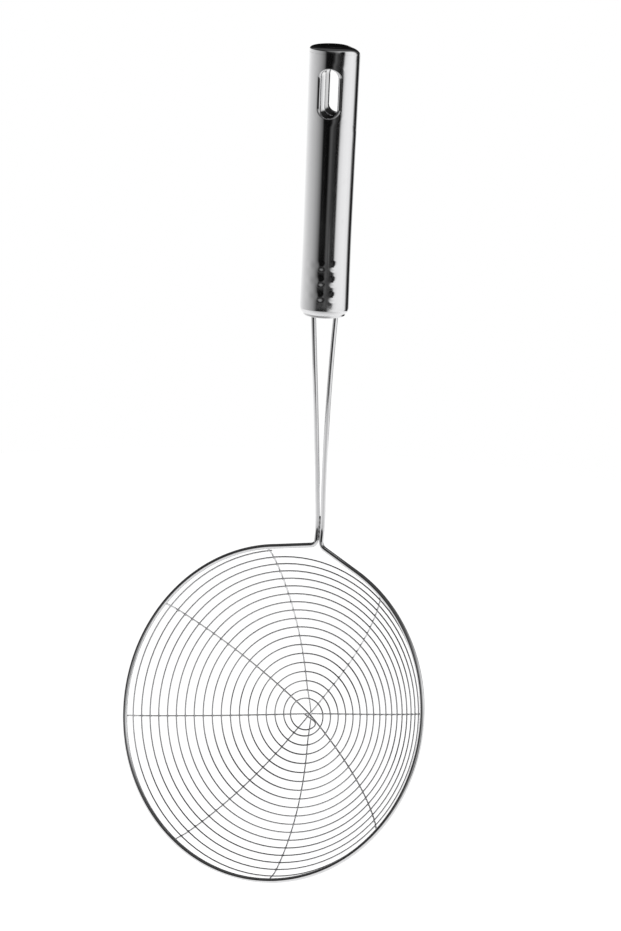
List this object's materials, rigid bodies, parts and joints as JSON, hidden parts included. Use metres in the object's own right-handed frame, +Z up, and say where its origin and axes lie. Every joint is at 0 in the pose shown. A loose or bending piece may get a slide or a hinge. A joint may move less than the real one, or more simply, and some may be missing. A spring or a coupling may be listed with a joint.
{
  "type": "spiral wire skimmer",
  "caption": "Round wire skimmer: a shallow bowl of spiral wire on crossing wires in a wire rim, whose two legs run up into a hollow steel handle with a hang slot.",
  "frame": {"origin": "middle of the hang slot, on the handle's axis", "axes": "+Z up the handle towards its end cap, -Y out of the handle's front, where the bowl's mouth faces, and +X to the right as seen from the front"},
  "size_m": [0.1466, 0.0817, 0.3656],
  "materials": {
    "handle_steel": "polished stainless steel with fine lines along the handle",
    "rim_steel": "bright drawn stainless steel wire",
    "mesh_wire_steel": "thin drawn stainless steel wire, slightly dull at the welds"
  },
  "bodies": {
    "root": {"handle_tube": "handle_steel", "handle_end_cap": "handle_steel", "handle_bottom_plug": "handle_steel", "rim_wire": "rim_steel", "cross_wire_1": "mesh_wire_steel", "cross_wire_2": "mesh_wire_steel", "cross_wire_3": "mesh_wire_steel", "cross_wire_4": "mesh_wire_steel", "spiral_wire": "mesh_wire_steel"}
  },
  "joints": []
}
